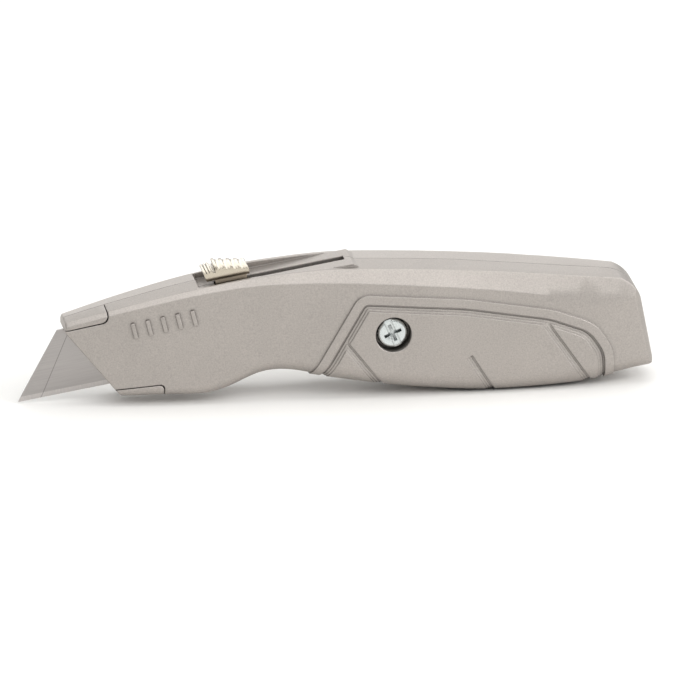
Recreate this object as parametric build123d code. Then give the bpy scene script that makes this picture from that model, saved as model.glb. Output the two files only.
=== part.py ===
from build123d import *
import os
from functools import cache
from math import atan2, cos, degrees, radians, sin

# Retractable utility knife, cutting edge down, nose towards -X.
# +Z is up, +Y is the left side of the knife and -Y its right side, which carries the screw.
# The origin is under the middle of the overall box, on the plane that the belly touches.
# Side outlines are drawn in the XZ plane.  What slides follows the "track": t runs along the
# cutting edge from the tip of the blade, h stands square to it, towards the spine.

# ---- overall sizes -------------------------------------------------------------------------
OVERALL_LENGTH = 183.0       # blade tip to tail, blade fully out
BODY_HEIGHT = 38.9           # belly to the highest point of the spine
GRIP_HALF = 12.0             # half thickness at the thickest part of the grip
SLIDE_ANGLE = 9.0            # nose-down angle of the blade, its track and its slot
TIP_Z = 0.65                 # height of the blade tip over the belly plane
TIP_X = -OVERALL_LENGTH / 2
TAIL_X = OVERALL_LENGTH / 2

# ---- blade ---------------------------------------------------------------------------------
BLADE_LENGTH = 62.0
BLADE_TOP = 33.0             # length of the blunt edge
BLADE_HEIGHT = 19.0
BLADE_THICK = 0.65
BEVEL_HEIGHT = 1.5           # ground band along the cutting edge
EDGE_LAND = 0.04             # width left at the very edge
NOTCH_WIDTH = 3.4
NOTCH_DEPTH = 3.6
NOTCH_SPACING = 9.6
TRAVEL = 28.0                # blade out to blade fully in

# ---- casing --------------------------------------------------------------------------------
WALL = 2.0
GRIP_FLAT = 0.05             # skimmed off the panel's highest part, which leaves it truly flat
SPINE_CROWN = 0.4            # fall from the middle of the spine to its crease
GRIP_RAISE = 0.45            # grip frame and panel over the casing skin
NOSE_BROW = (-78.4, 22.2)    # where the upright brow of the nose meets its slanted front
NOSE_FOOT = (-62.6, 2.85)
BLADE_GAP = 0.15             # each side of the blade in the nose channel
NOSE_FOOT_BLOCK = (-80.0, -1.0)  # middle of the metal left solid at the foot of the nose
NOSE_ROUND = 0.6             # edges of the slanted front
TAIL_LEAN = 3.3              # how far the tail leans in between these two heights
TAIL_LEAN_TOP = 22.0
TAIL_LEAN_FOOT = 4.6
TAIL_ROOF_FALL = 7.35        # spine's peak to the corner of the tail, before rounding
TAIL_ROOF_RISE = 6.5         # how much higher that line stands this far in front of the tail
TAIL_ROOF_RUN = 66.0
TAIL_FOOT_Z = 5.0
TAIL_FOOT_FALL = 3.0         # of the line from the tail's foot, over this run
TAIL_FOOT_RUN = 12.0
TAIL_TOP_ROUND = 11.0
TAIL_FOOT_ROUND = 3.0
TAIL_ROUND = 8.5             # corner radius of the tail, seen from above
LUG_GAP = 0.3                # line between the left half's lugs and the right half
PARTING_GAP = 0.12           # fine line between the halves

# ---- pocket, slot and button ---------------------------------------------------------------
POCKET_FRONT_X = -40.0
POCKET_FALL = 4.2            # spine below its peak at the front wall of the pocket
POCKET_DEPTH = 2.2           # below the spine at the front wall of the pocket
POCKET_LENGTH = 44.6
POCKET_HALF = 7.0
DECK = 1.8                   # thickness of metal under the pocket floor
SLOT_WIDTH = 3.6
SLOT_CLEAR = 0.3             # between the stem and each end and side of the slot
BUTTON_LENGTH = 13.0
BUTTON_HALF = 4.5
BUTTON_LIFT = 2.4            # underside of the head over the pocket floor
BUTTON_FRONT_RISE = 2.1      # height of the head at its front edge
BUTTON_STEP_RISE = 3.7       # at the front of the rear ridges
BUTTON_BACK_RISE = 1.9       # at its back edge
BUTTON_STEP_AT = 3.4         # from the front edge to the rear ridges
FINE_RIDGES = 3              # in front of the step
COARSE_RIDGES = 4            # hollows behind it
STEM_LENGTH = 9.2
STEM_HALF = 1.5
STEM_FOOT_H = 14.2
PRESS_TRAVEL = 1.5

# ---- carrier -------------------------------------------------------------------------------
CARRIER_THICK = 3.0
CARRIER_FRONT_T = 33.5       # lower front corner of the slanted plate
CARRIER_NOSE_T = 22.4        # upper front corner, ahead of the first stud
CARRIER_BLOCK_T = 58.0       # front of the full-width block behind the blade
CARRIER_END_T = 74.0
CARRIER_FOOT_H = 5.0
CARRIER_TOP_H = 18.6
CARRIER_Y = 0.45             # face of the carrier plate, just left of the blade
BLOCK_RIGHT = 3.2
BLOCK_LEFT = 5.4
BLOCK_FOOT_H = 9.0
SOCKET_FOOT_H = 12.0         # floor of the socket for the button's stem
RUN_CLEAR = 0.3              # between sliding pieces
STUD_DIAMETER = 3.0
MAGNET_DIAMETER = 5.0
MAGNET_THICK = 1.2
PIN_DIAMETER = 1.6           # pin that holds the button's stem in the carrier
FIT = 0.05                   # radial clearance of a pin in its hole

# ---- clamp screw ---------------------------------------------------------------------------
SCREW_X = 15.1
SCREW_Z = 19.1
HEAD_DIAMETER = 8.8
HEAD_HEIGHT = 2.8
HEAD_ROUND = 1.1
HEAD_TURN = 113.0            # direction of the screw's slot
HEAD_SLOT = (2.3, 0.5)       # width and depth
HEAD_CROSS = (5.2, 0.9, 1.9)  # span, width and depth of the cross recess
COUNTERBORE = 10.4
COUNTERBORE_DEPTH = 4.6      # from the grip panel to the seat of the head
SHANK_DIAMETER = 5.0
SHANK_CLEAR = 0.2
SEAT_THICK = 2.0
RING_THICK = 0.8
RING_DIAMETER = 8.4
INSERT_DIAMETER = 7.0
INSERT_LENGTH = 7.0
SCREW_BOSS_WALL = 1.1        # round the counterbore
INSERT_BOSS_WALL = 1.5       # round the insert

# ---- locating pins -------------------------------------------------------------------------
LOCATING_DIAMETER = 2.5
LOCATING_LENGTH = 5.0
NOSE_PIN_T = 38.0
NOSE_PIN_H = 21.8
LOCATING_BOSS = 4.4
TAIL_PIN_INSET = 17.0        # from the tail
TAIL_PIN_FALL = 10.6         # from the spine's peak

# ---- spare blades --------------------------------------------------------------------------
SPARE_BLADES = 5
SPARE_GAP = 0.01
STORE_X = 19.0               # front corner of the spare blades' cutting edges
STORE_Z = 7.0
STORE_Y = 1.2                # near face of the stack
TRAY_WALL = 1.0
TRAY_CLEAR = 0.25
TRAY_LIP = 1.1
TRAY_PAD = (36.0, 10.0)      # block behind the tray, against the casing wall
SPRING_THICK = 0.3           # leaf of the detent and of the tray
BUTTON_SPRING_THICK = 0.25
SPRING_SEAT = 0.02           # between a spring and what it bears on
TRAY_SPRING_RISE = 1.9
TRAY_SPRING_WIDTH = 5.0

# ---- detents and guides --------------------------------------------------------------------
STRIP_THICK = 0.8
STRIP_Y = 1.9
STRIP_WIDTH = 2.0
DETENT_COUNT = 4
DETENT_WIDTH = 2.2
DETENT_DEPTH = 0.45
LEAF_WIDTH = 1.4
RIB_THICK = 1.4
GUIDE_FRONT_T = 31.0
GUIDE_END_T = 104.0

# ---- grip relief ---------------------------------------------------------------------------
# corners of the grip frame's outer edge: x, z, radius
GRIP_CORNERS = [(-19.6, -12.0, 0), (5.4, 31.3, 5.0), (36.0, 28.7, 60.0), (61.0, 24.3, 25.0),
                (TAIL_X - 17.9, 19.3, 12.0), (TAIL_X - 12.6, 11.5, 12.0), (TAIL_X - 11.6, -12.0, 0)]
FRAME_BAND = 2.6             # width of the raised frame
FRAME_SLOPE = 2.2            # from the groove to the panel
GROOVE_DEPTH = 0.3           # below the casing skin
STRIPE_1 = (0.2, 18.2, 8.1, -10.4)      # upper end and direction of each diagonal stripe
STRIPE_2 = (37.0, 11.4, 5.5, -8.9)
STRIPE_3 = (56.6, 23.9, 12.5, -18.2)
STRIPE_WIDTH = 2.0
STRIPE_DEPTH = 0.5           # below the panel
SLOPE_STEPS = 3              # fine steps that make each slope of the relief

SIDE = Plane.XZ              # local z points to -Y
BIG = 60.0                   # reach of cutting tools past the casing


def track_to_frame(t, h):
    """X and Z of a point of the track."""
    a = radians(SLIDE_ANGLE)
    return TIP_X + t * cos(a) - h * sin(a), TIP_Z + t * sin(a) + h * cos(a)


def frame_to_track(x, z):
    a = radians(SLIDE_ANGLE)
    dx, dz = x - TIP_X, z - TIP_Z
    return dx * cos(a) + dz * sin(a), dz * cos(a) - dx * sin(a)


TRACK = Plane(origin=(TIP_X, 0, TIP_Z), z_dir=(0, -1, 0),
              x_dir=(cos(radians(SLIDE_ANGLE)), 0, sin(radians(SLIDE_ANGLE))))


def between(plane, sketch, y_low, y_high):
    """A sketch of the side view, extruded from y_low to y_high."""
    return extrude(plane.offset(-y_high) * sketch, y_high - y_low, dir=plane.z_dir)


def box_track(t0, t1, h0, h1, y_low, y_high):
    return between(TRACK, Pos((t0 + t1) / 2, (h0 + h1) / 2) * Rectangle(t1 - t0, h1 - h0), y_low, y_high)


def rod(plane, u, v, diameter, y_low, y_high):
    return between(plane, Pos(u, v) * Circle(diameter / 2), y_low, y_high)


# ---- casing form ---------------------------------------------------------------------------
# Each curve gives one measure of the cross-section along the knife, as points (x, value) that
# a smooth curve passes through.  The points by the tail are placed from the tail.
GRIP_SPINE = 9.0             # half width of the flat spine over the grip
STATION_STEP = 8.0
SPINE_FALL = [(-100, 20.4), (-79, 13.7), (-60.5, 8.8), (POCKET_FRONT_X, POCKET_FALL), (-20, 1.2),
              (0, 0.0), (16, 0.6), (44, 2.6), (TAIL_X - 27, 4.8), (TAIL_X - 13, 6.5), (TAIL_X + 6, 9.0)]
BELLY = [(-100, 2.9), (-40, 2.85), (-33.5, 3.9), (-26, 7.3), (-18, 8.95), (-10, 7.7), (2, 5.4), (20, 2.6),
         (46, GRIP_RAISE), (TAIL_X - 25, 1.1), (TAIL_X - 10.5, 3.1), (TAIL_X + 6, 6.0)]
SPINE_NARROWING = [(-100, 5.6), (-80, 4.8), (-60, 2.8), (-40, 1.5), (-18, 0.7), (8, 0.1), (40, 0.0),
                   (TAIL_X - 28, 0.3), (TAIL_X - 12, 1.1), (TAIL_X + 6, 3.0)]
SIDE_NARROWING = [(-100, 7.2), (-80, 6.0), (-60, 3.9), (-40, 2.4), (-18, 1.4), (8, 0.4), (30, 0.0),
                  (TAIL_X - 40, 0.0), (TAIL_X - 26, 0.4), (TAIL_X - 12, 1.6), (TAIL_X + 6, 4.4)]
SHOULDER_DROP = [(-100, 1.3), (-40, 1.7), (-24, 2.2), (0, 4.0), (24, 4.7), (50, 5.6),
                 (TAIL_X - 26, 6.3), (TAIL_X + 6, 5.6)]
BELLY_RADIUS = [(-100, 2.2), (-40, 3.0), (-18, 4.6), (10, 5.4), (TAIL_X - 30, 5.4), (TAIL_X + 6, 3.6)]


def along(curve, x):
    """Value at x of the monotone cubic curve through the given points."""
    slopes = [(v1 - v0) / (x1 - x0) for (x0, v0), (x1, v1) in zip(curve, curve[1:])]
    tangents = [2 * a * b / (a + b) if a * b > 0 else 0.0 for a, b in zip(slopes, slopes[1:])]
    tangents = [slopes[0]] + tangents + [slopes[-1]]
    n = max(i for i in range(len(slopes)) if i == 0 or x >= curve[i][0])
    (x0, v0), (x1, v1) = curve[n], curve[n + 1]
    w = x1 - x0
    s = (x - x0) / w
    return (v0 * (1 + 2 * s) * (1 - s) ** 2 + v1 * s * s * (3 - 2 * s)
            + w * s * (1 - s) * (tangents[n] * (1 - s) - tangents[n + 1] * s))


def section(x, grow):
    """Half cross-section (+Y side) of the casing, moved outwards by grow."""
    top = BODY_HEIGHT - along(SPINE_FALL, x) + grow
    bottom = along(BELLY, x) - grow
    spine = GRIP_SPINE - along(SPINE_NARROWING, x) + grow * 0.8
    side = GRIP_HALF - GRIP_RAISE - along(SIDE_NARROWING, x) + grow
    drop = along(SHOULDER_DROP, x)
    r = along(BELLY_RADIUS, x) + grow
    with BuildSketch(Plane(origin=(x, 0, 0), x_dir=(0, 1, 0), z_dir=(1, 0, 0))) as half:
        with BuildLine():
            Polyline((0, bottom), (0, top), (spine, top - SPINE_CROWN), (side, top - drop), (side, bottom + r))
            RadiusArc((side, bottom + r), (side - r, bottom), r)
            Line((side - r, bottom), (0, bottom))
        make_face()
    return half.sketch.face()


@cache
def half_form(grow):
    """Lofted +Y half of the casing, longer than the knife at both ends."""
    first, last = NOSE_BROW[0] - 8, TAIL_X + 4
    count = round((last - first) / STATION_STEP)
    stations = [first + (last - first) * n / count for n in range(count + 1)]
    return Solid.make_loft([section(x, grow).outer_wire() for x in stations])


def side_outline(inset):
    """Closed outline of the casing in side view; only its front and tail do any trimming."""
    lean = (TAIL_LEAN + 0.1) / (TAIL_LEAN_FOOT - TAIL_LEAN_TOP)
    roof = BODY_HEIGHT - TAIL_ROOF_FALL - inset
    foot = TAIL_FOOT_Z + inset
    with BuildSketch() as outline:
        Polygon(
            (NOSE_FOOT[0] + 2 * NOSE_FOOT[1], -NOSE_FOOT[1]), NOSE_FOOT, NOSE_BROW,
            (NOSE_BROW[0], BODY_HEIGHT + 4),
            (TAIL_X - TAIL_ROOF_RUN, BODY_HEIGHT + 4),
            (TAIL_X - TAIL_ROOF_RUN, roof + TAIL_ROOF_RISE),
            (TAIL_X - TAIL_LEAN - inset + (roof - TAIL_LEAN_TOP) * lean, roof),
            (TAIL_X - inset + 0.1 + (TAIL_FOOT_Z - TAIL_LEAN_FOOT) * lean, foot),
            (TAIL_X - TAIL_FOOT_RUN, foot - TAIL_FOOT_FALL),
            (TAIL_X - TAIL_ROOF_RUN / 2, -NOSE_FOOT[1] - 2),
            align=None,
        )
        rear = [v for v in outline.vertices() if v.X > TAIL_X - TAIL_TOP_ROUND]
        fillet([v for v in rear if v.Y > TAIL_LEAN_TOP], TAIL_TOP_ROUND - inset)
        rear = [v for v in outline.vertices() if v.X > TAIL_X - 5]
        fillet([v for v in rear if v.Y < TAIL_FOOT_Z + 2], TAIL_FOOT_ROUND - inset)
    return outline.sketch


POCKET_T, FLOOR_H = frame_to_track(POCKET_FRONT_X, BODY_HEIGHT - POCKET_FALL - POCKET_DEPTH)
POCKET_END_T = POCKET_T + POCKET_LENGTH
BUTTON_T = POCKET_T + 2.3
STEM_T = BUTTON_T + 3.2
SLOT_END_T = STEM_T + STEM_LENGTH + TRAVEL + SLOT_CLEAR
DECK_H = FLOOR_H - DECK
SEAT_Y = -(GRIP_HALF - COUNTERBORE_DEPTH)
TAIL_PIN = (TAIL_X - TAIL_PIN_INSET, BODY_HEIGHT - TAIL_PIN_FALL)
NOSE_PIN = track_to_frame(NOSE_PIN_T, NOSE_PIN_H)
BUTTON_PIN = (STEM_T + STEM_LENGTH / 2, STEM_FOOT_H + 2.2)
MAGNET_PLACE = (CARRIER_FRONT_T + 8, BLOCK_FOOT_H)
DETENT_T = CARRIER_BLOCK_T + 3.0
FLOOR_PLANE = Plane(TRACK.from_local_coords(Vector(POCKET_T, FLOOR_H, 0)), x_dir=TRACK.x_dir, z_dir=TRACK.y_dir)


@cache
def trimmed(grow):
    """The +Y half of the casing form moved outwards by grow, cut to its front and rounded tail."""
    lean = atan2(TAIL_LEAN, TAIL_LEAN_TOP - TAIL_LEAN_FOOT)
    back = Plane(origin=(TAIL_X + grow, 0, TAIL_LEAN_FOOT), x_dir=(cos(lean), 0, sin(lean)),
                 z_dir=(-sin(lean), 0, cos(lean)))
    plan = Pos(-2 * BIG + 0.1, 0) * RectangleRounded(4 * BIG, 2 * (GRIP_HALF + grow), TAIL_ROUND + grow)
    rounded = extrude(back * plan, BIG, both=True)
    return half_form(grow) & between(SIDE, side_outline(-grow), 0, BIG) & rounded


@cache
def skin():
    """The +Y half's outer skin, with the edges of its slanted front and of its brow rounded."""
    shell = trimmed(0.0)
    front = [edge for face in shell.faces() if face.geom_type == GeomType.PLANE
             and face.normal_at().X < -0.3 and face.center().X < NOSE_FOOT[0] for edge in face.edges()]
    rim = [e for e in front if e.center().Y > 0.05 and sum(e.is_same(other) for other in front) == 1]
    rim = [e for e in rim if e.length > 15 or e.center().Z > NOSE_BROW[1] + 1.5]
    return shell.fillet(NOSE_ROUND, sorted(rim, key=lambda e: -e.length))


def pocket_tool():
    plan = Pos(POCKET_LENGTH / 2, 0) * RectangleRounded(POCKET_LENGTH, 2 * POCKET_HALF, 1.2)
    return extrude(FLOOR_PLANE * plan, BIG)


def slot_tool():
    length = SLOT_END_T - STEM_T + SLOT_CLEAR
    plan = Pos(STEM_T - SLOT_CLEAR - POCKET_T + length / 2, 0) * Rectangle(length, SLOT_WIDTH)
    return extrude(FLOOR_PLANE.offset(-DECK - 2) * plan, BIG)


def ramp():
    """Raised end of the pocket floor, where the floor runs out above the spine."""
    t = POCKET_END_T
    profile = Polygon((t - 18, DECK_H), (t - 18, FLOOR_H), (t, FLOOR_H), (t + 2, FLOOR_H - 1.5),
                      (t + 2, DECK_H), align=None)
    return between(TRACK, profile, 0, POCKET_HALF)


def grip_outline():
    """Outer edge of the grip frame; it runs off the belly at both ends."""
    grip = Polygon(*[(x, z) for x, z, r in GRIP_CORNERS], align=None)
    for x, z, r in GRIP_CORNERS:
        if r:
            grip = fillet([v for v in grip.vertices() if abs(v.X - x) + abs(v.Y - z) < 0.01], r)
    return grip


def stripe(x, z, dx, dz, width):
    """Diagonal band of the grip panel, width wide beside its right edge, from its upper end past the belly."""
    middle = Pos(BIG / 3, (STRIPE_WIDTH - width) / 2)
    return Pos(x, z) * Rot(0, 0, degrees(atan2(dz, dx))) * middle * Rectangle(BIG * 2 / 3, width)


def carve(sketch, grow):
    """Tool that cuts the side down to the casing form moved outwards by grow."""
    return between(SIDE, sketch, 0.5, BIG) - half_form(grow)


def grip_relief(shell):
    """Raised frame, groove round the panel, panel and its diagonal stripes; slopes are fine steps."""
    grip = grip_outline()
    groove = offset(grip, -FRAME_BAND)
    shell = shell + (trimmed(GRIP_RAISE) & between(SIDE, grip, 0.5, BIG))
    for n in range(SLOPE_STEPS):
        share = n / SLOPE_STEPS
        step = offset(grip, -FRAME_BAND - FRAME_SLOPE * share)
        panel = offset(grip, -FRAME_BAND - FRAME_SLOPE * (n + 1) / SLOPE_STEPS)
        shell = shell - carve(step - panel, -GROOVE_DEPTH + (GRIP_RAISE + GROOVE_DEPTH) * share)
    for n in range(SLOPE_STEPS):
        share = (n + 1) / SLOPE_STEPS
        width = STRIPE_WIDTH * (1 - n / SLOPE_STEPS)
        bands = [stripe(*STRIPE_1, width), stripe(*STRIPE_2, width), stripe(*STRIPE_3, width)]
        shell = shell - carve(Sketch(children=[face for band in bands for face in (band & groove).faces()]),
                              GRIP_RAISE - STRIPE_DEPTH * share)
    return shell


def bare_half():
    """What both halves share: skin, grip relief, pocket, slot, hollow and blade channel."""
    flat = between(SIDE, Rectangle(4 * BIG, 4 * BIG), 0, GRIP_HALF - GRIP_FLAT)
    half = grip_relief(skin() + ramp()) & flat
    rear_t = CARRIER_FRONT_T - 2
    front = Polygon((CARRIER_NOSE_T - 2, BLADE_HEIGHT + 0.3), (rear_t, CARRIER_FOOT_H), (rear_t, -BIG),
                    (4 * BIG, -BIG), (4 * BIG, BIG), (rear_t, BIG), (rear_t, BLADE_HEIGHT + 0.3), align=None)
    hollow = trimmed(-WALL) & between(TRACK, front, 0, BIG)
    hollow = hollow - box_track(POCKET_T - 3, POCKET_END_T + 3, DECK_H, BIG, 0, BIG)
    hollow = hollow - between(SIDE, Pos(*NOSE_FOOT_BLOCK) * Rectangle(BIG, 16), 0, BIG)
    return half - hollow - pocket_tool() - slot_tool() - blade_channel()


def blade_channel():
    half_gap = BLADE_THICK / 2 + BLADE_GAP
    return box_track(-BIG / 2, CARRIER_FRONT_T + 12, -0.4, BLADE_HEIGHT + 0.3, -half_gap, half_gap)


def inside(shape):
    """A rib or boss, kept within the wall of the +Y half."""
    return shape & trimmed(-WALL * 0.6)


def lug_outlines(gap):
    """Outlines of the left half's two lugs, which wrap the nose over and under the blade."""
    left, top_end, foot_end = NOSE_BROW[0] - 15, -67.2 + gap, -50.5 + gap
    top = Polygon((left, 45), (left, 22.0), (-77.2, 23.2 - gap), (top_end + 0.9, 25.6 - gap), (top_end, 32),
                  (top_end, 45), align=None)
    foot = Polygon((-75, 3.9 + gap), (-64, 5.0 + gap), (foot_end, 6.3 + gap), (foot_end - 0.2, -8), (-75, -8),
                   align=None)
    top = fillet([v for v in top.vertices() if v.X > top_end - 1 and v.Y < 27], 2.2)
    foot = fillet([v for v in foot.vertices() if v.X > foot_end - 1 and v.Y > 0], 1.4)
    return [top, foot]


def pin_holes(y_low, y_high):
    hole = LOCATING_DIAMETER + 2 * FIT
    return rod(SIDE, *NOSE_PIN, hole, y_low, y_high) + rod(SIDE, *TAIL_PIN, hole, y_low, y_high)


def pin_posts():
    return [rod(SIDE, *NOSE_PIN, LOCATING_BOSS, PARTING_GAP, BIG),
            rod(SIDE, *TAIL_PIN, LOCATING_BOSS + 1, PARTING_GAP, BIG)]


def left_half(bare):
    left = bare
    rail_top = CARRIER_FOOT_H - RUN_CLEAR
    rib_foot = CARRIER_TOP_H + RUN_CLEAR
    rails = [box_track(GUIDE_FRONT_T, GUIDE_END_T, rail_top - RIB_THICK, rail_top, 0.8, BIG),
             box_track(GUIDE_FRONT_T, GUIDE_END_T, rib_foot, rib_foot + RIB_THICK,
                       STRIP_Y + STRIP_WIDTH + 0.2, BIG)]
    boss = rod(SIDE, SCREW_X, SCREW_Z, INSERT_DIAMETER + 2 * INSERT_BOSS_WALL, PARTING_GAP, BIG)
    for part in [*rails, boss, *pin_posts()]:
        left = left + inside(part)
    left = left - rod(SIDE, SCREW_X, SCREW_Z, INSERT_DIAMETER + 2 * FIT, -1, INSERT_LENGTH + PARTING_GAP)
    left = left - rod(SIDE, SCREW_X, SCREW_Z, SHANK_DIAMETER + 2 * SHANK_CLEAR, -1, INSERT_LENGTH + 1.6)
    left = left - pin_holes(-1, LOCATING_LENGTH / 2)
    for outline in lug_outlines(0.0):
        left = left + (mirror(skin(), Plane.XZ) & between(SIDE, outline, -BIG, 0))
    return left - blade_channel()


def right_half(bare):
    right = mirror(bare, Plane.XZ)
    boss = rod(SIDE, SCREW_X, SCREW_Z, COUNTERBORE + 2 * SCREW_BOSS_WALL, PARTING_GAP, BIG)
    for post in [boss, *pin_posts()]:
        right = right + mirror(inside(post), Plane.XZ)
    right = right - rod(SIDE, SCREW_X, SCREW_Z, COUNTERBORE, -BIG, SEAT_Y)
    right = right - rod(SIDE, SCREW_X, SCREW_Z, SHANK_DIAMETER + 2 * SHANK_CLEAR, -BIG, 1)
    right = right - rod(SIDE, SCREW_X, SCREW_Z, RING_DIAMETER + 0.8, SEAT_Y + SEAT_THICK, 1)
    right = right - pin_holes(-LOCATING_LENGTH / 2, 1)
    for outline in lug_outlines(LUG_GAP):
        right = right - between(SIDE, outline, -BIG, 1)
    return right - between(SIDE, Rectangle(4 * BIG, 4 * BIG), -PARTING_GAP, 1)


# ---- blade and carrier ---------------------------------------------------------------------
def blade_shape(origin, y_middle):
    """Trapezoid blade with its acute cutting corners at h = 0, on the given side plane."""
    t = BLADE_THICK / 2
    shoulder = (BLADE_LENGTH - BLADE_TOP) / 2
    across = Plane(origin=origin.origin, x_dir=-origin.z_dir, z_dir=origin.x_dir)
    profile = Polygon((-t, BLADE_HEIGHT), (t, BLADE_HEIGHT), (t, BEVEL_HEIGHT), (EDGE_LAND / 2, 0),
                      (-EDGE_LAND / 2, 0), (-t, BEVEL_HEIGHT), align=None)
    bar = Pos(0, y_middle, 0) * extrude(across * profile, BLADE_LENGTH, dir=across.z_dir)
    outline = Polygon((0, 0), (BLADE_LENGTH, 0), (BLADE_LENGTH - shoulder, BLADE_HEIGHT),
                      (shoulder, BLADE_HEIGHT), align=None)
    for side in (-1, 1):
        middle = BLADE_LENGTH / 2 + side * NOTCH_SPACING / 2
        notch = Pos(middle, BLADE_HEIGHT - NOTCH_DEPTH + NOTCH_WIDTH / 2) * Circle(NOTCH_WIDTH / 2)
        mouth = Pos(middle, BLADE_HEIGHT) * Rectangle(NOTCH_WIDTH, 2 * NOTCH_DEPTH - NOTCH_WIDTH)
        outline = outline - notch - mouth
    return bar & between(origin, outline, y_middle - 1, y_middle + 1)


def blade():
    return blade_shape(TRACK, 0)


def stud_places():
    h = BLADE_HEIGHT - NOTCH_DEPTH + NOTCH_WIDTH / 2
    return [(BLADE_LENGTH / 2 + side * NOTCH_SPACING / 2, h) for side in (-1, 1)]


def blade_carrier():
    outline = Polygon((CARRIER_NOSE_T, CARRIER_TOP_H), (CARRIER_FRONT_T, CARRIER_FOOT_H),
                      (CARRIER_END_T, CARRIER_FOOT_H), (CARRIER_END_T, CARRIER_TOP_H), align=None)
    outline = fillet(outline.vertices(), 1.5)
    plate = between(TRACK, outline, CARRIER_Y, CARRIER_Y + CARRIER_THICK)
    block = box_track(CARRIER_BLOCK_T, CARRIER_END_T, BLOCK_FOOT_H, CARRIER_TOP_H, -BLOCK_RIGHT, BLOCK_LEFT)
    carrier = plate + block
    for t, h in stud_places():
        carrier = carrier + rod(TRACK, t, h, STUD_DIAMETER, -BLADE_THICK / 2 - 0.6, CARRIER_Y + 1)
    carrier = carrier - box_track(STEM_T - FIT, STEM_T + STEM_LENGTH + FIT, SOCKET_FOOT_H, BIG,
                                  -STEM_HALF - FIT, STEM_HALF + FIT)
    carrier = carrier - rod(TRACK, *BUTTON_PIN, PIN_DIAMETER, -BIG, BIG)
    magnet_t, magnet_h = MAGNET_PLACE
    carrier = carrier - rod(TRACK, magnet_t, magnet_h, MAGNET_DIAMETER + 2 * FIT, 0, CARRIER_Y + MAGNET_THICK)
    return carrier


def blade_magnet():
    return rod(TRACK, *MAGNET_PLACE, MAGNET_DIAMETER, CARRIER_Y, CARRIER_Y + MAGNET_THICK)


def button_pin():
    return rod(TRACK, *BUTTON_PIN, PIN_DIAMETER, -BLOCK_RIGHT, BLOCK_LEFT)


def thumb_button():
    """Wedge-shaped head with a few fine ridges, a step up and coarse hollowed ridges, on its stem."""
    foot = FLOOR_H + BUTTON_LIFT
    front, step, back = BUTTON_T, BUTTON_T + BUTTON_STEP_AT, BUTTON_T + BUTTON_LENGTH
    low, high, end = foot + BUTTON_FRONT_RISE, foot + BUTTON_STEP_RISE, foot + BUTTON_BACK_RISE
    profile = Polygon((front + 0.5, foot), (front, low), (step - 0.6, low + 0.4), (step - 0.6, low),
                      (step, low), (step, high - 0.2), (step + 0.2, high), (back - 0.3, end), (back, end - 0.3),
                      (back, foot), align=None)
    fine = (BUTTON_STEP_AT - 0.9) / FINE_RIDGES
    for n in range(FINE_RIDGES):
        profile = profile + Pos(front + fine * (n + 0.5), low + 0.05 + 0.12 * n) * Circle(fine * 0.45)
    pitch = (back - step - 0.9) / COARSE_RIDGES
    fall = (high - end) / (back - step)
    for n in range(COARSE_RIDGES):
        t = step + 0.6 + pitch * (n + 0.5)
        profile = profile - Pos(t, high - (t - step) * fall + pitch * 0.3) * Circle(pitch * 0.47)
    head = between(TRACK, profile, -BUTTON_HALF, BUTTON_HALF)
    stem = box_track(STEM_T, STEM_T + STEM_LENGTH, STEM_FOOT_H, foot + 0.5, -STEM_HALF, STEM_HALF)
    t, h = BUTTON_PIN
    wide = PIN_DIAMETER + 2 * FIT
    slot = box_track(t - wide / 2, t + wide / 2, h, h + PRESS_TRAVEL, -BIG, BIG)
    ends = rod(TRACK, t, h, wide, -BIG, BIG) + rod(TRACK, t, h + PRESS_TRAVEL, wide, -BIG, BIG)
    return head + stem - slot - ends


def bow(plane, u0, u1, v0, v1, thick, y_low, y_high):
    """Leaf spring bent to an arc over a chord from u0 to u1, its ends at v0 and its crown at v1."""
    middle = (u0 + u1) / 2
    with BuildSketch() as leaf:
        with BuildLine():
            ThreePointArc((u0, v0), (middle, v1 - thick), (u1, v0))
            Line((u1, v0), (u1, v0 + thick))
            ThreePointArc((u1, v0 + thick), (middle, v1), (u0, v0 + thick))
            Line((u0, v0 + thick), (u0, v0))
        make_face()
    return between(plane, leaf.sketch, y_low, y_high)


def button_spring():
    return bow(TRACK, STEM_T + 0.8, STEM_T + STEM_LENGTH - 0.8, SOCKET_FOOT_H + SPRING_SEAT,
               STEM_FOOT_H - SPRING_SEAT, BUTTON_SPRING_THICK, -1.1, 1.1)


def detent_places():
    """Where the tip of the leaf stands along the track at each click."""
    return [DETENT_T + TRAVEL * n / (DETENT_COUNT - 1) for n in range(DETENT_COUNT)]


def detent_strip():
    strip = box_track(POCKET_T + 2.5, DETENT_T + TRAVEL + DETENT_WIDTH, DECK_H - STRIP_THICK, DECK_H,
                      STRIP_Y, STRIP_Y + STRIP_WIDTH)
    for t in detent_places():
        foot = DECK_H - STRIP_THICK
        notch = Polygon((t - DETENT_WIDTH / 2, foot), (t, foot + DETENT_DEPTH), (t + DETENT_WIDTH / 2, foot),
                        align=None)
        strip = strip - between(TRACK, notch, -BIG, BIG)
    return strip


def detent_spring():
    top = CARRIER_TOP_H
    tip = DECK_H - STRIP_THICK + DETENT_DEPTH - 0.12
    thick = SPRING_THICK
    end = CARRIER_END_T - 0.5
    profile = Polygon((end, top), (end, top + thick), (end - 3.5, top + thick), (DETENT_T + 1.3, tip - 0.75),
                      (DETENT_T, tip), (DETENT_T - 1.3, tip - 0.75), (DETENT_T - 1.3, tip - 0.75 - thick),
                      (DETENT_T, tip - thick - 0.06), (DETENT_T + 1.3, tip - 0.75 - thick), (end - 3.6, top),
                      align=None)
    middle = STRIP_Y + STRIP_WIDTH / 2
    return between(TRACK, profile, middle - LEAF_WIDTH / 2, middle + LEAF_WIDTH / 2)


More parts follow.
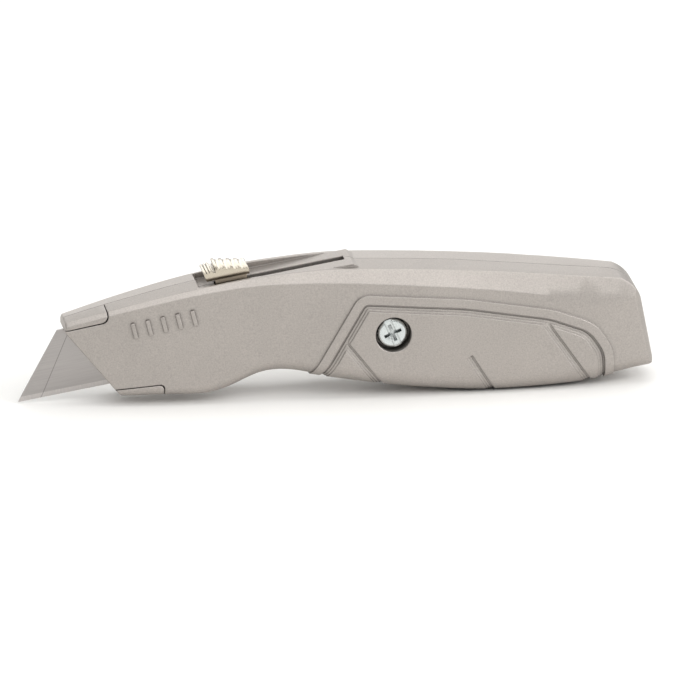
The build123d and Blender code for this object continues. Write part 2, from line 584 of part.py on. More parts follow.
# ---- screw group ---------------------------------------------------------------------------
def clamp_screw():
    face = SEAT_Y - HEAD_HEIGHT
    head = rod(SIDE, SCREW_X, SCREW_Z, HEAD_DIAMETER, face, SEAT_Y)
    head = fillet(head.edges().sort_by(Axis.Y)[0], HEAD_ROUND)
    screw = head + rod(SIDE, SCREW_X, SCREW_Z, SHANK_DIAMETER, SEAT_Y - 0.5, INSERT_LENGTH + 0.6)
    span, width, depth = HEAD_CROSS
    slot_width, slot_depth = HEAD_SLOT
    centre = Pos(SCREW_X, SCREW_Z) * Rot(0, 0, HEAD_TURN)
    cross = centre * Rectangle(span, width) + centre * Rectangle(width, span)
    slot = centre * Rectangle(HEAD_DIAMETER + 1, slot_width)
    screw = screw - between(SIDE, cross, face - 1, face + depth)
    return screw - between(SIDE, slot, face - 1, face + slot_depth)


def screw_insert():
    sleeve = rod(SIDE, SCREW_X, SCREW_Z, INSERT_DIAMETER, PARTING_GAP, INSERT_LENGTH + PARTING_GAP)
    return sleeve - rod(SIDE, SCREW_X, SCREW_Z, SHANK_DIAMETER + 2 * FIT, -1, BIG)


def screw_retaining_ring():
    y = SEAT_Y + SEAT_THICK + FIT
    ring = rod(SIDE, SCREW_X, SCREW_Z, RING_DIAMETER, y, y + RING_THICK)
    return ring - rod(SIDE, SCREW_X, SCREW_Z, SHANK_DIAMETER, -BIG, BIG)


def locating_pin(place):
    reach = LOCATING_LENGTH / 2 - FIT
    pin = rod(SIDE, *place, LOCATING_DIAMETER, -reach, reach)
    return chamfer(pin.edges(), 0.3)


# ---- spare blade store ---------------------------------------------------------------------
STORE = Plane(origin=(STORE_X, 0, STORE_Z), x_dir=(1, 0, 0), z_dir=(0, -1, 0))
STACK_END = STORE_Y + SPARE_BLADES * (BLADE_THICK + SPARE_GAP)


def spare_blade(n):
    return blade_shape(STORE, STORE_Y + (BLADE_THICK + SPARE_GAP) * n + BLADE_THICK / 2)


def spare_blade_tray():
    shoulder = (BLADE_LENGTH - BLADE_TOP) / 2
    middle = BLADE_LENGTH / 2
    outline = Polygon((0, 0), (BLADE_LENGTH, 0), (BLADE_LENGTH - shoulder, BLADE_HEIGHT),
                      (shoulder, BLADE_HEIGHT), align=None)
    cavity = offset(outline, TRAY_CLEAR)
    outer = offset(outline, TRAY_CLEAR + TRAY_WALL)
    back = STACK_END + TRAY_SPRING_RISE
    tray = between(STORE, outer, STORE_Y - TRAY_LIP, back + TRAY_WALL) - between(STORE, cavity, -1, back)
    foot_lip = Pos(middle, -0.4) * Rectangle(10, 2.4)
    top_lip = Pos(middle, BLADE_HEIGHT + 0.2) * Rectangle(22, 1.6)
    tray = tray + between(STORE, (foot_lip + top_lip) & outer, STORE_Y - TRAY_LIP, STORE_Y - 0.3)
    pads = between(STORE, Pos(middle, BLADE_HEIGHT / 2) * Rectangle(*TRAY_PAD), back, BIG)
    return tray + (pads & trimmed(-WALL - 0.02))


def tray_spring():
    behind = Plane(origin=(STORE_X, STACK_END + TRAY_SPRING_RISE, 0), x_dir=(1, 0, 0), z_dir=(0, 0, -1))
    foot = STORE_Z + (BLADE_HEIGHT - TRAY_SPRING_WIDTH) / 2
    return bow(behind, 12, BLADE_LENGTH - 12, SPRING_SEAT, TRAY_SPRING_RISE - SPRING_SEAT, SPRING_THICK,
               foot, foot + TRAY_SPRING_WIDTH)


PIECES = {
    "blade": blade,
    "blade_carrier": blade_carrier,
    "blade_magnet": blade_magnet,
    "button_pin": button_pin,
    "thumb_button": thumb_button,
    "button_spring": button_spring,
    "detent_strip": detent_strip,
    "detent_spring": detent_spring,
    "clamp_screw": clamp_screw,
    "screw_insert": screw_insert,
    "screw_retaining_ring": screw_retaining_ring,
    "nose_pin": lambda: locating_pin(NOSE_PIN),
    "tail_pin": lambda: locating_pin(TAIL_PIN),
    "spare_blade_tray": spare_blade_tray,
    "tray_spring": tray_spring,
}


if __name__ == "__main__":
    os.makedirs("parts", exist_ok=True)
    for name, make in PIECES.items():
        export_step(make(), f"parts/{name}.step")
    for n in range(SPARE_BLADES):
        export_step(spare_blade(n), f"parts/spare_blade_{n + 1}.step")
    bare = bare_half()
    export_step(left_half(bare), "parts/left_casing_half.step")
    export_step(right_half(bare), "parts/right_casing_half.step")
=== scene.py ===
from math import cos, pi, radians, sin

import bmesh
import bpy
from bpy.props import FloatProperty, FloatVectorProperty, IntProperty, PointerProperty
from mathutils import Matrix, Vector
from mathutils.bvhtree import BVHTree


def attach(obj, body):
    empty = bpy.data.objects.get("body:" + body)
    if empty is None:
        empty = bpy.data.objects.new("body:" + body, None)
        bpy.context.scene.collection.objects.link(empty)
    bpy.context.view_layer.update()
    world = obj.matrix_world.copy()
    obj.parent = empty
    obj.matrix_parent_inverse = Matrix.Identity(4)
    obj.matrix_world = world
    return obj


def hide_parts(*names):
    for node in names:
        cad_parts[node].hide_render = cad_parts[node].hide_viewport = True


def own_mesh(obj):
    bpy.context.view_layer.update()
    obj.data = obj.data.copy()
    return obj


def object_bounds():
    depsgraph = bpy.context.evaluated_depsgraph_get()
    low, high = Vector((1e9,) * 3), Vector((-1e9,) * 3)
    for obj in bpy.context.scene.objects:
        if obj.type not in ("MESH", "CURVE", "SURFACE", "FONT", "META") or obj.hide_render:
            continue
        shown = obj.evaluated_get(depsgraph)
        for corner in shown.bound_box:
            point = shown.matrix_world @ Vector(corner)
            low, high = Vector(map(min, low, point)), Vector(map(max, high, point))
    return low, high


bl_info = {
    "name": "Utility Knife",
    "version": (1, 0, 0),
    "blender": (4, 5, 0),
    "location": "View3D > Sidebar > Knife",
    "description": "Gives the packed frame of a retractable utility knife its finished pieces and materials",
    "category": "Object",
}

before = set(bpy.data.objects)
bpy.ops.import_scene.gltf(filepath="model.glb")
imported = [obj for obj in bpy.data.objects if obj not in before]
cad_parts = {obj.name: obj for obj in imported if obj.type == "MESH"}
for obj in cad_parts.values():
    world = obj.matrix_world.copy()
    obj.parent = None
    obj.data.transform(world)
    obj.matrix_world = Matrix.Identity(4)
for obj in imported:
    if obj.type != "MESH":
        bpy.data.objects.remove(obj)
CAD_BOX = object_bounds()

MM = 0.001
SLIDE_ANGLE = radians(9)             # the blade and its slide point this far nose-down
FIRST_BAR = Vector((-59.0, -30.0, 22.8)) * MM    # each bar starts out here, clear of the casing's side
BAR_ROW = Vector((17.0, 0.0, 3.4)) * MM          # from the first bar to the last
BAR_SLANT = radians(14)
BAR_RISE = 0.5 * MM                              # how far a bar's face stands off the casing
BAR_DEPTH = 0.6 * MM
SCORE_FOOT = (7.8, 1.8)              # where the blade's scored line meets its bevel, in mm along and up
SCORE_LEAN = radians(58.5)
THREAD_PITCH = 0.8 * MM
AIM = Vector((4.33, 0.0, 11.37)) * MM
SENSOR = 36.0
CREASE = radians(24)                 # faces that meet at more than this keep a crisp edge


def linear(code):
    """Linear RGBA of an sRGB hex colour."""
    values = [int(code[n:n + 2], 16) / 255 for n in (0, 2, 4)]
    return [v / 12.92 if v <= 0.04045 else ((v + 0.055) / 1.055) ** 2.4 for v in values] + [1.0]


def colour(name, description, code):
    return FloatVectorProperty(name=name, description=description, subtype="COLOR", size=4,
                               min=0.0, max=1.0, default=linear(code))


def length(name, description, millimetres):
    return FloatProperty(name=name, description=description, unit="LENGTH", min=0.0, precision=5,
                         default=millimetres * MM)


class KnifeCasing(bpy.types.PropertyGroup):
    metal: colour("Metal", "Colour of the cast metal", "b2aca7")
    grain: length("Grain", "Size of the grains left by blasting", 0.28)
    edge: length("Edge", "Radius that casting and tumbling leave on the edges", 0.6)
    bars: IntProperty(name="Bars", description="Plain raised bars on the nose of the right half",
                      default=5, min=2)
    bar_size: FloatVectorProperty(name="Bar size", description="Width and height of a bar", size=2,
                                  unit="LENGTH", precision=5, default=(1.1 * MM, 4.6 * MM))


class KnifeBlade(bpy.types.PropertyGroup):
    steel: colour("Steel", "Colour of the ground blade steel", "a8a4a2")
    bevel: length("Bevel", "Height of the ground band along the cutting edge", 1.5)


class KnifeFittings(bpy.types.PropertyGroup):
    plating: colour("Plating", "Colour of the button's nickel plating", "c4bbab")
    zinc: colour("Zinc", "Colour of the screw's zinc plating", "d3d8d8")
    spring: colour("Spring steel", "Colour of the springs and the notched strip", "9fa0a2")
    brass: colour("Brass", "Colour of the threaded insert", "c2a05a")
    carrier: colour("Carrier", "Colour of the moulded blade carrier", "26272a")
    tray: colour("Tray", "Colour of the spare blade tray", "d9a91e")
    rounding: length("Rounding", "Radius on the edges of the small pieces", 0.15)


class KnifeStage(bpy.types.PropertyGroup):
    azimuth: FloatProperty(name="Azimuth", description="Camera's turn round the knife, nose side negative",
                           subtype="ANGLE", default=radians(-9))
    elevation: FloatProperty(name="Elevation", description="Camera's height over the horizon",
                             subtype="ANGLE", default=radians(18))
    span: length("Span", "Width of the view at the knife", 199.9)
    lens: FloatProperty(name="Lens", description="Focal length of the camera in millimetres", default=900.0)
    paper: colour("Paper", "Colour of the floor", "f6f5f3")


class KnifeSettings(bpy.types.PropertyGroup):
    casing: PointerProperty(type=KnifeCasing)
    blade: PointerProperty(type=KnifeBlade)
    fittings: PointerProperty(type=KnifeFittings)
    stage: PointerProperty(type=KnifeStage)


# ---- meshes ---------------------------------------------------------------------------------
def merged(node_name):
    """A bmesh of the CAD node with its doubles merged."""
    bm = bmesh.new()
    bm.from_mesh(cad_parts[node_name].data)
    bmesh.ops.remove_doubles(bm, verts=bm.verts, dist=1e-7)
    return bm


def sharp_edges(bm):
    return [edge for edge in bm.edges if len(edge.link_faces) == 2 and edge.calc_face_angle(0.0) > CREASE]


def round_edges(bm, width, segments=2):
    """Joins flat faces, then rounds every edge between faces that meet at an angle."""
    bmesh.ops.dissolve_limit(bm, angle_limit=radians(0.5), verts=bm.verts, edges=bm.edges)
    bmesh.ops.bevel(bm, geom=sharp_edges(bm), offset=width, offset_type="OFFSET", affect="EDGES",
                    segments=segments, profile=0.5, clamp_overlap=True, material=-1)


def piece(name, bm, body, material, slot, *replaced):
    """Turns the bmesh into a piece of the knife, shaded smooth between its creases."""
    for face in bm.faces:
        face.smooth = True
    for edge in bm.edges:
        edge.smooth = True
    for edge in sharp_edges(bm):
        edge.smooth = False
    mesh = bpy.data.meshes.new(name)
    bm.to_mesh(mesh)
    bm.free()
    mesh.materials.append(material)
    made = bpy.data.objects.new(name, mesh)
    bpy.context.scene.collection.objects.link(made)
    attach(made, body)
    if replaced:
        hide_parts(*replaced)
    return made


# ---- materials ------------------------------------------------------------------------------
def add(tree, kind, inputs=None, **settings):
    """Adds a node with its settings; inputs are values, or the outputs to link from."""
    made = tree.nodes.new(kind)
    for name, value in settings.items():
        setattr(made, name, value)
    for name, value in (inputs or {}).items():
        if isinstance(value, bpy.types.NodeSocket):
            tree.links.new(value, made.inputs[name])
        else:
            made.inputs[name].default_value = value
    return made


def shade(base, factor):
    return [min(1.0, value * factor) for value in base[:3]] + [1.0]


def surface(name, base, metallic, roughness, grain, depth, contrast=0.05, edge=0.0, wear=0.0, blotch=0.03,
            cavity=0.0, parting=0.0):
    """A grainy finish: fine grain in colour, gloss and height, broad blotches, worn edges, painted shade in
    hollows.
    """
    material = bpy.data.materials.new(name)
    material.use_nodes = True
    tree = material.node_tree
    shader = tree.nodes["Principled BSDF"]
    shader.inputs["Metallic"].default_value = metallic
    place = add(tree, "ShaderNodeTexCoord").outputs["Object"]
    fine = add(tree, "ShaderNodeTexNoise", {"Vector": place, "Scale": 0.7 / grain, "Detail": 3.0,
                                            "Roughness": 0.65})
    broad = add(tree, "ShaderNodeTexNoise", {"Vector": place, "Scale": 1 / (18 * MM), "Detail": 3.0})
    spread = add(tree, "ShaderNodeMapRange", {"Value": fine.outputs[0], "From Min": 0.3, "From Max": 0.7})
    grained = add(tree, "ShaderNodeMix", {0: spread.outputs[0], 6: shade(base, 1 - contrast),
                                          7: shade(base, 1 + contrast)}, data_type="RGBA")
    patches = add(tree, "ShaderNodeMapRange", {"Value": broad.outputs[0], "From Min": 0.3, "From Max": 0.7,
                                               "To Min": 1 - blotch, "To Max": 1 + blotch})
    toned = add(tree, "ShaderNodeVectorMath", {0: grained.outputs[2], "Scale": patches.outputs[0]},
                operation="SCALE")
    rough = add(tree, "ShaderNodeMapRange", {"Value": fine.outputs[0], "From Min": 0.3, "From Max": 0.7,
                                             "To Min": roughness * 0.9, "To Max": roughness * 1.1})
    last_colour, last_rough, normal = toned.outputs[0], rough.outputs[0], None
    # if cavity:  # painted shade: ambient occlusion darkens the colour in hollows, grooves and valleys
    if cavity:
        open_sky = add(tree, "ShaderNodeAmbientOcclusion", {"Distance": cavity}, samples=8)
        # painted shade: where little open sky is seen, the colour falls to 0.35 of itself
        hollow_shade = add(tree, "ShaderNodeMapRange", {"Value": open_sky.outputs["AO"], "From Min": 0.3,
                                                 "From Max": 0.95, "To Min": 0.35, "To Max": 1.0})
        last_colour = add(tree, "ShaderNodeVectorMath", {0: last_colour, "Scale": hollow_shade.outputs[0]},
                          operation="SCALE").outputs[0]
    if edge:
        bent = add(tree, "ShaderNodeBevel", {"Radius": edge}, samples=6)
        normal = bent.outputs["Normal"]
        flat = add(tree, "ShaderNodeNewGeometry").outputs["Normal"]
        likeness = add(tree, "ShaderNodeVectorMath", {0: normal, 1: flat}, operation="DOT_PRODUCT")
        worn = add(tree, "ShaderNodeMapRange", {"Value": likeness.outputs["Value"], "From Min": 0.995,
                                                "From Max": 0.9, "To Min": 0.0, "To Max": wear})
        bright = add(tree, "ShaderNodeMix", {0: worn.outputs[0], 6: last_colour, 7: shade(base, 1.5)},
                     data_type="RGBA")
        polished = add(tree, "ShaderNodeMix", {0: worn.outputs[0], 2: last_rough, 3: roughness * 0.6},
                       data_type="FLOAT")
        last_colour, last_rough = bright.outputs[2], polished.outputs[0]
    if parting:
        # dirt in the fine joint along the spine, drawn wider than the joint so that it shows
        axes = add(tree, "ShaderNodeSeparateXYZ", {0: place})
        off = add(tree, "ShaderNodeMath", {0: axes.outputs[1]}, operation="ABSOLUTE")
        line = add(tree, "ShaderNodeMapRange", {"Value": off.outputs[0], "From Min": parting * 0.6,
                                                "From Max": parting, "To Min": 0.8, "To Max": 0.0})
        facing = add(tree, "ShaderNodeSeparateXYZ", {0: add(tree, "ShaderNodeNewGeometry").outputs["Normal"]})
        upward = add(tree, "ShaderNodeMath", {0: facing.outputs[2], 1: 0.8}, operation="GREATER_THAN")
        joint = add(tree, "ShaderNodeMath", {0: line.outputs[0], 1: upward.outputs[0]}, operation="MULTIPLY")
        last_colour = add(tree, "ShaderNodeMix", {0: joint.outputs[0], 6: last_colour, 7: linear("3a3733")},
                          data_type="RGBA").outputs[2]
    bump = add(tree, "ShaderNodeBump", {"Height": fine.outputs[0], "Strength": 1.0, "Distance": depth})
    if normal:
        tree.links.new(normal, bump.inputs["Normal"])
    tree.links.new(last_colour, shader.inputs["Base Color"])
    tree.links.new(last_rough, shader.inputs["Roughness"])
    tree.links.new(bump.outputs[0], shader.inputs["Normal"])
    return material


def ground_blade_steel(settings):
    """Carbon steel, surface ground: fine lines along the blade, brighter lines across its bevel,
    and one scored line that lets the tip be snapped off.  The UV map is in millimetres along and up."""
    material = bpy.data.materials.new("ground_blade_steel")
    material.use_nodes = True
    tree = material.node_tree
    shader = tree.nodes["Principled BSDF"]
    shader.inputs["Metallic"].default_value = 1.0
    place = add(tree, "ShaderNodeUVMap", uv_map="blade").outputs[0]
    axes = add(tree, "ShaderNodeSeparateXYZ", {0: place})
    along = add(tree, "ShaderNodeMapping", {"Vector": place, "Scale": (0.06, 5.0, 1.0)})
    across = add(tree, "ShaderNodeMapping", {"Vector": place, "Scale": (5.0, 0.3, 1.0)})
    lines = add(tree, "ShaderNodeTexNoise", {"Vector": along.outputs[0], "Scale": 1.0, "Detail": 4.0})
    strokes = add(tree, "ShaderNodeTexNoise", {"Vector": across.outputs[0], "Scale": 1.0, "Detail": 3.0})
    on_bevel = add(tree, "ShaderNodeMath", {0: axes.outputs[1], 1: settings.bevel / MM}, operation="LESS_THAN")
    grind = add(tree, "ShaderNodeMix", {0: on_bevel.outputs[0], 2: lines.outputs[0], 3: strokes.outputs[0]},
                data_type="FLOAT")
    tone = add(tree, "ShaderNodeMix", {0: on_bevel.outputs[0], 6: list(settings.steel),
                                       7: shade(settings.steel, 1.35)}, data_type="RGBA")
    light = add(tree, "ShaderNodeMapRange", {"Value": grind.outputs[0], "From Min": 0.3, "From Max": 0.7,
                                             "To Min": 0.92, "To Max": 1.08})
    lined = add(tree, "ShaderNodeVectorMath", {0: tone.outputs[2], "Scale": light.outputs[0]},
                operation="SCALE")
    scored = add(tree, "ShaderNodeMapping", {"Vector": place,
                                             "Location": (-SCORE_FOOT[0], -SCORE_FOOT[1], 0.0)})
    turned = add(tree, "ShaderNodeVectorRotate", {"Vector": scored.outputs[0], "Angle": SCORE_LEAN - pi / 2},
                 rotation_type="Z_AXIS", invert=True)
    from_score = add(tree, "ShaderNodeSeparateXYZ", {0: turned.outputs[0]})
    distance = add(tree, "ShaderNodeMath", {0: from_score.outputs[0]}, operation="ABSOLUTE")
    score = add(tree, "ShaderNodeMapRange", {"Value": distance.outputs[0], "From Min": 0.06, "From Max": 0.14,
                                             "To Min": 0.5, "To Max": 0.0})
    dark = add(tree, "ShaderNodeMix", {0: score.outputs[0], 6: lined.outputs[0], 7: linear("4c4a48")},
               data_type="RGBA")
    rough = add(tree, "ShaderNodeMapRange", {"Value": grind.outputs[0], "From Min": 0.3, "From Max": 0.7,
                                             "To Min": 0.27, "To Max": 0.36})
    bump = add(tree, "ShaderNodeBump", {"Height": grind.outputs[0], "Strength": 0.4, "Distance": 0.01 * MM})
    tree.links.new(dark.outputs[2], shader.inputs["Base Color"])
    tree.links.new(rough.outputs[0], shader.inputs["Roughness"])
    tree.links.new(bump.outputs[0], shader.inputs["Normal"])
    return material


def rolled_thread(base):
    """Zinc-plated steel with an M5 thread: ridges 0.8 mm apart along the screw, with painted shade darkening
    the valleys between them.
    """
    material = bpy.data.materials.new("rolled_thread")
    material.use_nodes = True
    tree = material.node_tree
    shader = tree.nodes["Principled BSDF"]
    shader.inputs["Metallic"].default_value = 1.0
    place = add(tree, "ShaderNodeTexCoord").outputs["Object"]
    turns = add(tree, "ShaderNodeTexWave", {"Vector": place, "Scale": 2 * pi / THREAD_PITCH / 20},
                bands_direction="Y", wave_profile="TRI")
    speck = add(tree, "ShaderNodeTexNoise", {"Vector": place, "Scale": 2500.0})
    # painted shade: the colour falls to 0.45 of the plating in the valleys of the thread
    tone = add(tree, "ShaderNodeMix", {0: turns.outputs[1], 6: shade(base, 0.45), 7: list(base)},
               data_type="RGBA")
    rough = add(tree, "ShaderNodeMapRange", {"Value": speck.outputs[0], "To Min": 0.25, "To Max": 0.4})
    bump = add(tree, "ShaderNodeBump", {"Height": turns.outputs[1], "Strength": 1.0, "Distance": 0.35 * MM})
    tree.links.new(tone.outputs[2], shader.inputs["Base Color"])
    tree.links.new(rough.outputs[0], shader.inputs["Roughness"])
    tree.links.new(bump.outputs[0], shader.inputs["Normal"])
    return material


# ---- operators ------------------------------------------------------------------------------
class KNIFE_OT_casing(bpy.types.Operator):
    """Finishes the two cast halves of the casing"""
    bl_idname = "knife.casing"
    bl_label = "Casing halves"

    def execute(self, context):
        settings = context.scene.knife.casing
        # zinc alloy, pressure die cast and then bead blasted: even satin grains, edges rubbed brighter;
        # real grains are about 0.1 mm, and are drawn coarser so that they show
        metal = surface("bead_blasted_zinc_casting", settings.metal, 1.0, 0.5, settings.grain, 0.03 * MM,
                        contrast=0.15, edge=settings.edge, wear=0.14, cavity=1.2 * MM, parting=0.16 * MM)
        for node_name, body in (("left_casing_half", "casing"), ("right_casing_half", "right_cover")):
            bm = merged(node_name)
            if body == "right_cover":
                cover = BVHTree.FromBMesh(bm)
            piece("cast_" + node_name, bm, body, metal, "cast_casing", node_name)
        bars = bmesh.new()
        for n in range(settings.bars):
            share = n / (settings.bars - 1)
            middle = FIRST_BAR + BAR_ROW * share
            made = bmesh.ops.create_grid(bars, x_segments=3, y_segments=8, size=0.5)["verts"]
            bmesh.ops.scale(bars, verts=made, vec=(settings.bar_size[0], settings.bar_size[1], 1.0))
            upright = Matrix.Rotation(radians(90), 3, "X")
            bmesh.ops.rotate(bars, verts=made, matrix=Matrix.Rotation(-BAR_SLANT, 3, "Y") @ upright)
            bmesh.ops.translate(bars, verts=made, vec=middle)
            for vert in made:
                hit = cover.ray_cast(vert.co, Vector((0, 1, 0)))[0]
                if hit is None:
                    raise RuntimeError("a raised bar lies off the casing")
                vert.co.y = hit.y - BAR_RISE
        bmesh.ops.recalc_face_normals(bars, faces=bars.faces)
        for face in bars.faces:
            if face.normal.y > 0:
                face.normal_flip()
        bmesh.ops.solidify(bars, geom=bars.faces, thickness=BAR_DEPTH)
        bmesh.ops.recalc_face_normals(bars, faces=bars.faces)
        piece("raised_bars", bars, "right_cover", metal, "cast_casing")
        return {"FINISHED"}


class KNIFE_OT_blades(bpy.types.Operator):
    """Finishes the working blade and the spare ones"""
    bl_idname = "knife.blades"
    bl_label = "Blades"

    def execute(self, context):
        steel = ground_blade_steel(context.scene.knife.blade)
        blades = [("blade", "carriage", SLIDE_ANGLE)]
        blades += [(f"spare_blade_{n}", "casing", 0.0) for n in range(1, 6)]
        for node_name, body, angle in blades:
            bm = merged(node_name)
            back = Matrix.Rotation(-angle, 3, "Y").inverted() if angle else Matrix.Identity(3)
            laid = [back @ vert.co for vert in bm.verts]
            origin = Vector((min(p.x for p in laid), 0, min(p.z for p in laid)))
            uv = bm.loops.layers.uv.new("blade")
            for face in bm.faces:
                for loop in face.loops:
                    flat = back @ loop.vert.co - origin
                    loop[uv].uv = (flat.x / MM, flat.z / MM)
            piece("ground_" + node_name, bm, body, steel, "blade_steel", node_name)
        return {"FINISHED"}


class KNIFE_OT_button(bpy.types.Operator):
    """Finishes the thumb button"""
    bl_idname = "knife.button"
    bl_label = "Thumb button"

    def execute(self, context):
        settings = context.scene.knife.fittings
        # die cast and nickel plated: bright, a little warm, softened by the plating
        nickel = surface("nickel_plating", settings.plating, 1.0, 0.18, 0.5 * MM, 0.008 * MM,
                         contrast=0.03, edge=0.15 * MM, wear=0.3, cavity=1.5 * MM)
        bm = merged("thumb_button")
        round_edges(bm, settings.rounding, 3)
        piece("plated_thumb_button", bm, "button", nickel, "plated_button", "thumb_button")
        return {"FINISHED"}


class KNIFE_OT_screw(bpy.types.Operator):
    """Finishes the clamp screw, its ring and the threaded insert"""
    bl_idname = "knife.screw"
    bl_label = "Clamp screw"

    def execute(self, context):
        settings = context.scene.knife.fittings
        # steel, barrel zinc plated and blue passivated: bright with a fine crystal sparkle
        zinc = surface("blue_zinc_plating", settings.zinc, 1.0, 0.26, 0.35 * MM, 0.012 * MM,
                       contrast=0.08, edge=0.2 * MM, wear=0.3, blotch=0.06, cavity=1.2 * MM)
        bm = merged("clamp_screw")
        round_edges(bm, 0.08 * MM, 2)
        screw = piece("plated_clamp_screw", bm, "screw", zinc, "screw_zinc", "clamp_screw")
        screw.data.materials.append(rolled_thread(settings.zinc))
        for face in screw.data.polygons:
            if face.center.y > 0.0 and abs(face.normal.y) < 0.5:
                face.material_index = 1
        # spring steel strip, blued grey and lightly oiled
        oiled = surface("oiled_spring_steel", settings.spring, 1.0, 0.3, 0.3 * MM, 0.006 * MM, contrast=0.04)
        piece("steel_retaining_ring", merged("screw_retaining_ring"), "screw", oiled, "spring_steel",
              "screw_retaining_ring")
        # free-cutting brass, turned on a lathe
        brass = surface("turned_brass", settings.brass, 1.0, 0.28, 0.25 * MM, 0.006 * MM, contrast=0.05)
        piece("brass_screw_insert", merged("screw_insert"), "casing", brass, "insert_brass", "screw_insert")
        return {"FINISHED"}


class KNIFE_OT_carriage(bpy.types.Operator):
    """Finishes the blade carrier with its magnet, pins, springs and notched strip"""
    bl_idname = "knife.carriage"
    bl_label = "Carriage"

    def execute(self, context):
        settings = context.scene.knife.fittings
        # acetal, injection moulded with a spark-eroded texture
        acetal = surface("moulded_acetal", settings.carrier, 0.0, 0.45, 0.3 * MM, 0.01 * MM, contrast=0.1)
        bm = merged("blade_carrier")
        round_edges(bm, settings.rounding)
        piece("moulded_blade_carrier", bm, "carriage", acetal, "carrier_plastic", "blade_carrier")
        # sintered magnet, nickel plated
        magnet = surface("nickel_plated_magnet", linear("bdb9b0"), 1.0, 0.25, 0.4 * MM, 0.005 * MM)
        bm = merged("blade_magnet")
        round_edges(bm, 0.12 * MM)
        piece("plated_blade_magnet", bm, "carriage", magnet, "magnet_plate", "blade_magnet")
        # silver steel, centreless ground
        pin = surface("ground_pin_steel", linear("aaa8a5"), 1.0, 0.22, 0.2 * MM, 0.004 * MM)
        for node_name, body in (("button_pin", "carriage"), ("nose_pin", "casing"), ("tail_pin", "casing")):
            bm = merged(node_name)
            round_edges(bm, 0.06 * MM)
            piece("ground_" + node_name, bm, body, pin, "pin_steel", node_name)
        # spring steel strip, cold rolled: smooth, with a faint grey sheen
        strip = surface("rolled_spring_steel", settings.spring, 1.0, 0.3, 0.3 * MM, 0.006 * MM, contrast=0.04)
        for node_name, body in (("button_spring", "carriage"), ("detent_spring", "carriage"),
                                ("detent_strip", "casing"), ("tray_spring", "casing")):
            leaf = piece("rolled_" + node_name, merged(node_name), body, strip, "spring_steel", node_name)
            if node_name == "button_spring":
                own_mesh(leaf)
        return {"FINISHED"}


class KNIFE_OT_tray(bpy.types.Operator):
    """Finishes the tray of the spare blades"""
    bl_idname = "knife.tray"
    bl_label = "Spare blade tray"

    def execute(self, context):
        # polypropylene, injection moulded: soft sheen with a faint orange-peel
        settings = context.scene.knife.fittings
        plastic = surface("moulded_polypropylene", settings.tray, 0.0, 0.4, 0.6 * MM, 0.01 * MM, contrast=0.03)
        bm = merged("spare_blade_tray")
        round_edges(bm, settings.rounding)
        piece("moulded_spare_blade_tray", bm, "casing", plastic, "tray_plastic", "spare_blade_tray")
        return {"FINISHED"}


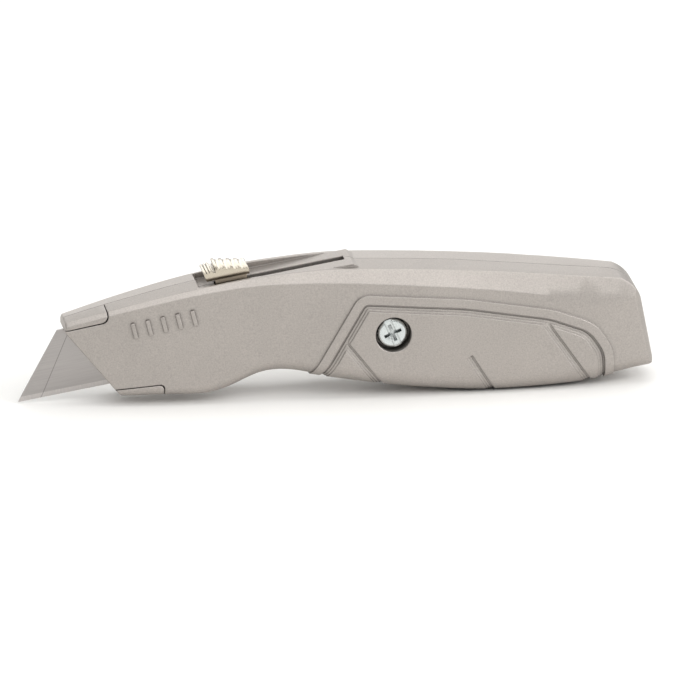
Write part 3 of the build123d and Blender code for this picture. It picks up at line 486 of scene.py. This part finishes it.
class KNIFE_OT_stage(bpy.types.Operator):
    """Lays the floor and sets the lights and the camera"""
    bl_idname = "knife.stage"
    bl_label = "Stage"

    def execute(self, context):
        settings = context.scene.knife.stage
        low, high = CAD_BOX
        middle = Vector(((low.x + high.x) / 2, 0, 0))
        bm = bmesh.new()
        bmesh.ops.create_grid(bm, x_segments=1, y_segments=1, size=1.6)
        bmesh.ops.translate(bm, verts=bm.verts, vec=(middle.x, 0, low.z))
        mesh = bpy.data.meshes.new("floor")
        bm.to_mesh(mesh)
        bm.free()
        floor = bpy.data.objects.new("floor", mesh)
        context.scene.collection.objects.link(floor)
        # matt paper: an even, pale ground
        mesh.materials.append(surface("matt_paper", settings.paper, 0.0, 0.7, 1.5 * MM, 0.01 * MM,
                                      contrast=0.004, blotch=0.003))

        world = bpy.data.worlds.new("soft_room")
        world.use_nodes = True
        world.node_tree.nodes["Background"].inputs["Color"].default_value = linear("f4f4f2")
        world.node_tree.nodes["Background"].inputs["Strength"].default_value = 0.5
        context.scene.world = world
        lamps = (("overhead_softbox", (0.0, 0.1, 1.1), (1.3, 0.9), 6.0),
                 ("front_softbox", (-0.1, -1.0, 1.0), (1.4, 0.8), 6.0),
                 ("back_softbox", (0.0, 1.5, 0.5), (1.6, 0.8), 6.2),
                 ("side_softbox", (1.2, -0.6, 0.8), (1.2, 1.0), 12.0))
        for name, place, size, power in lamps:
            data = bpy.data.lights.new(name, "AREA")
            data.shape, data.size, data.size_y, data.energy = "RECTANGLE", size[0], size[1], power
            lamp = bpy.data.objects.new(name, data)
            lamp.location = place
            lamp.rotation_euler = (middle - lamp.location).to_track_quat("-Z", "Y").to_euler()
            context.scene.collection.objects.link(lamp)

        back = Vector((sin(settings.azimuth) * cos(settings.elevation),
                       -cos(settings.azimuth) * cos(settings.elevation), sin(settings.elevation)))
        data = bpy.data.cameras.new("camera")
        data.lens, data.sensor_width = settings.lens, SENSOR
        distance = settings.span * settings.lens / data.sensor_width
        data.clip_start, data.clip_end = 0.5, 20.0
        camera = bpy.data.objects.new("camera", data)
        camera.location = AIM + back * distance
        camera.rotation_euler = (-back).to_track_quat("-Z", "Y").to_euler()
        context.scene.collection.objects.link(camera)
        context.scene.camera = camera
        context.scene.view_settings.view_transform = "Standard"
        return {"FINISHED"}


OPERATORS = (KNIFE_OT_casing, KNIFE_OT_blades, KNIFE_OT_button, KNIFE_OT_screw, KNIFE_OT_carriage,
             KNIFE_OT_tray, KNIFE_OT_stage)


class KNIFE_PT_pieces(bpy.types.Panel):
    """Lists the steps that finish the knife"""
    bl_idname = "KNIFE_PT_pieces"
    bl_label = "Utility knife"
    bl_space_type = "VIEW_3D"
    bl_region_type = "UI"
    bl_category = "Knife"

    def draw(self, context):
        for operator in OPERATORS:
            self.layout.operator(operator.bl_idname)


CLASSES = (KnifeCasing, KnifeBlade, KnifeFittings, KnifeStage, KnifeSettings, *OPERATORS, KNIFE_PT_pieces)


def register():
    for cls in CLASSES:
        bpy.utils.register_class(cls)
    bpy.types.Scene.knife = PointerProperty(type=KnifeSettings)


def unregister():
    del bpy.types.Scene.knife
    for cls in reversed(CLASSES):
        bpy.utils.unregister_class(cls)


def main():
    register()
    bpy.ops.knife.stage()
    for step in (bpy.ops.knife.casing, bpy.ops.knife.blades, bpy.ops.knife.button, bpy.ops.knife.screw,
                 bpy.ops.knife.carriage, bpy.ops.knife.tray):
        step()


if __name__ == "__main__":
    main()
